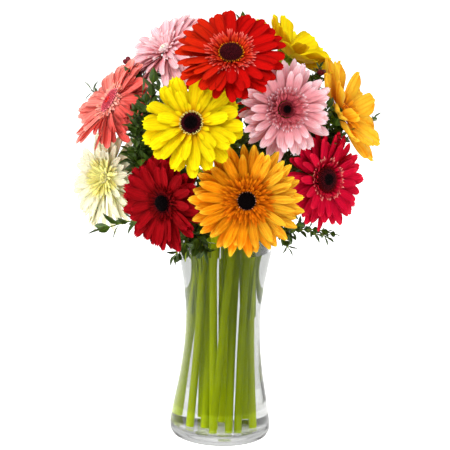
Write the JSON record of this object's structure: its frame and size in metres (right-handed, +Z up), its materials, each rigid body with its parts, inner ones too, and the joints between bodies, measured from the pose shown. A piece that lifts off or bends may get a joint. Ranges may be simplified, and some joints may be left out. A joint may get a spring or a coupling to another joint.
{
  "type": "gerberas in a vase",
  "caption": "Mixed bunch of cut gerberas with sprigs of small-leaved green, standing in a waisted clear glass vase of water.",
  "frame": {"origin": "middle of the vase's foot, on the surface that it stands on", "axes": "+Z up through the vase, -Y towards the front of the bunch, +X to the right seen from the front"},
  "size_m": [0.2866, 0.2498, 0.4252],
  "materials": {
    "glass": "clear, smooth",
    "water": "clear",
    "stem": "fresh green, waxy",
    "sprig": "dark green, satin",
    "petals_red_orange": "velvety, ribbed petal",
    "eye_dark": "soft, tufted disc",
    "petals_pale_pink": "velvety, ribbed petal",
    "eye_cream": "soft, tufted disc",
    "petals_coral": "velvety, ribbed petal",
    "eye_rust": "soft, tufted disc",
    "petals_yellow": "velvety, ribbed petal",
    "petals_dusty_pink": "velvety, ribbed petal",
    "petals_deep_yellow": "velvety, ribbed petal",
    "petals_golden": "velvety, ribbed petal",
    "eye_orange": "soft, tufted disc",
    "petals_crimson": "velvety, ribbed petal",
    "petals_orange": "velvety, ribbed petal",
    "petals_dark_red": "velvety, ribbed petal",
    "petals_white": "velvety, ribbed petal",
    "eye_lime": "soft, tufted disc"
  },
  "bodies": {
    "root": {"vase": "glass", "water": "water", "red_orange_petals": "petals_red_orange", "red_orange_eye": "eye_dark", "red_orange_stem": "stem", "pale_pink_petals": "petals_pale_pink", "pale_pink_eye": "eye_cream", "pale_pink_stem": "stem", "coral_petals": "petals_coral", "coral_eye": "eye_rust", "coral_stem": "stem", "yellow_petals": "petals_yellow", "yellow_eye": "eye_dark", "yellow_stem": "stem", "dusty_pink_petals": "petals_dusty_pink", "dusty_pink_eye": "eye_dark", "dusty_pink_stem": "stem", "deep_yellow_petals": "petals_deep_yellow", "deep_yellow_eye": "eye_dark", "deep_yellow_stem": "stem", "golden_petals": "petals_golden", "golden_eye": "eye_orange", "golden_stem": "stem", "crimson_petals": "petals_crimson", "crimson_eye": "eye_dark", "crimson_stem": "stem", "orange_petals": "petals_orange", "orange_eye": "eye_dark", "orange_stem": "stem", "dark_red_petals": "petals_dark_red", "dark_red_eye": "eye_dark", "dark_red_stem": "stem", "white_petals": "petals_white", "white_eye": "eye_lime", "white_stem": "stem", "back_red_petals": "petals_red_orange", "back_red_eye": "eye_dark", "back_red_stem": "stem", "sprig_left_low": "sprig", "sprig_left_high": "sprig", "sprig_left_inner": "sprig", "sprig_middle": "sprig", "sprig_right_inner": "sprig", "sprig_right_high": "sprig", "sprig_right_back": "sprig", "sprig_right_low": "sprig", "sprig_over_rim": "sprig", "sprig_rim_right": "sprig", "sprig_top_left": "sprig", "sprig_top_right": "sprig", "sprig_back_left": "sprig", "sprig_back_right": "sprig", "sprig_back_low_left": "sprig", "sprig_back_low_right": "sprig", "sprig_back_top": "sprig"}
  },
  "joints": []
}
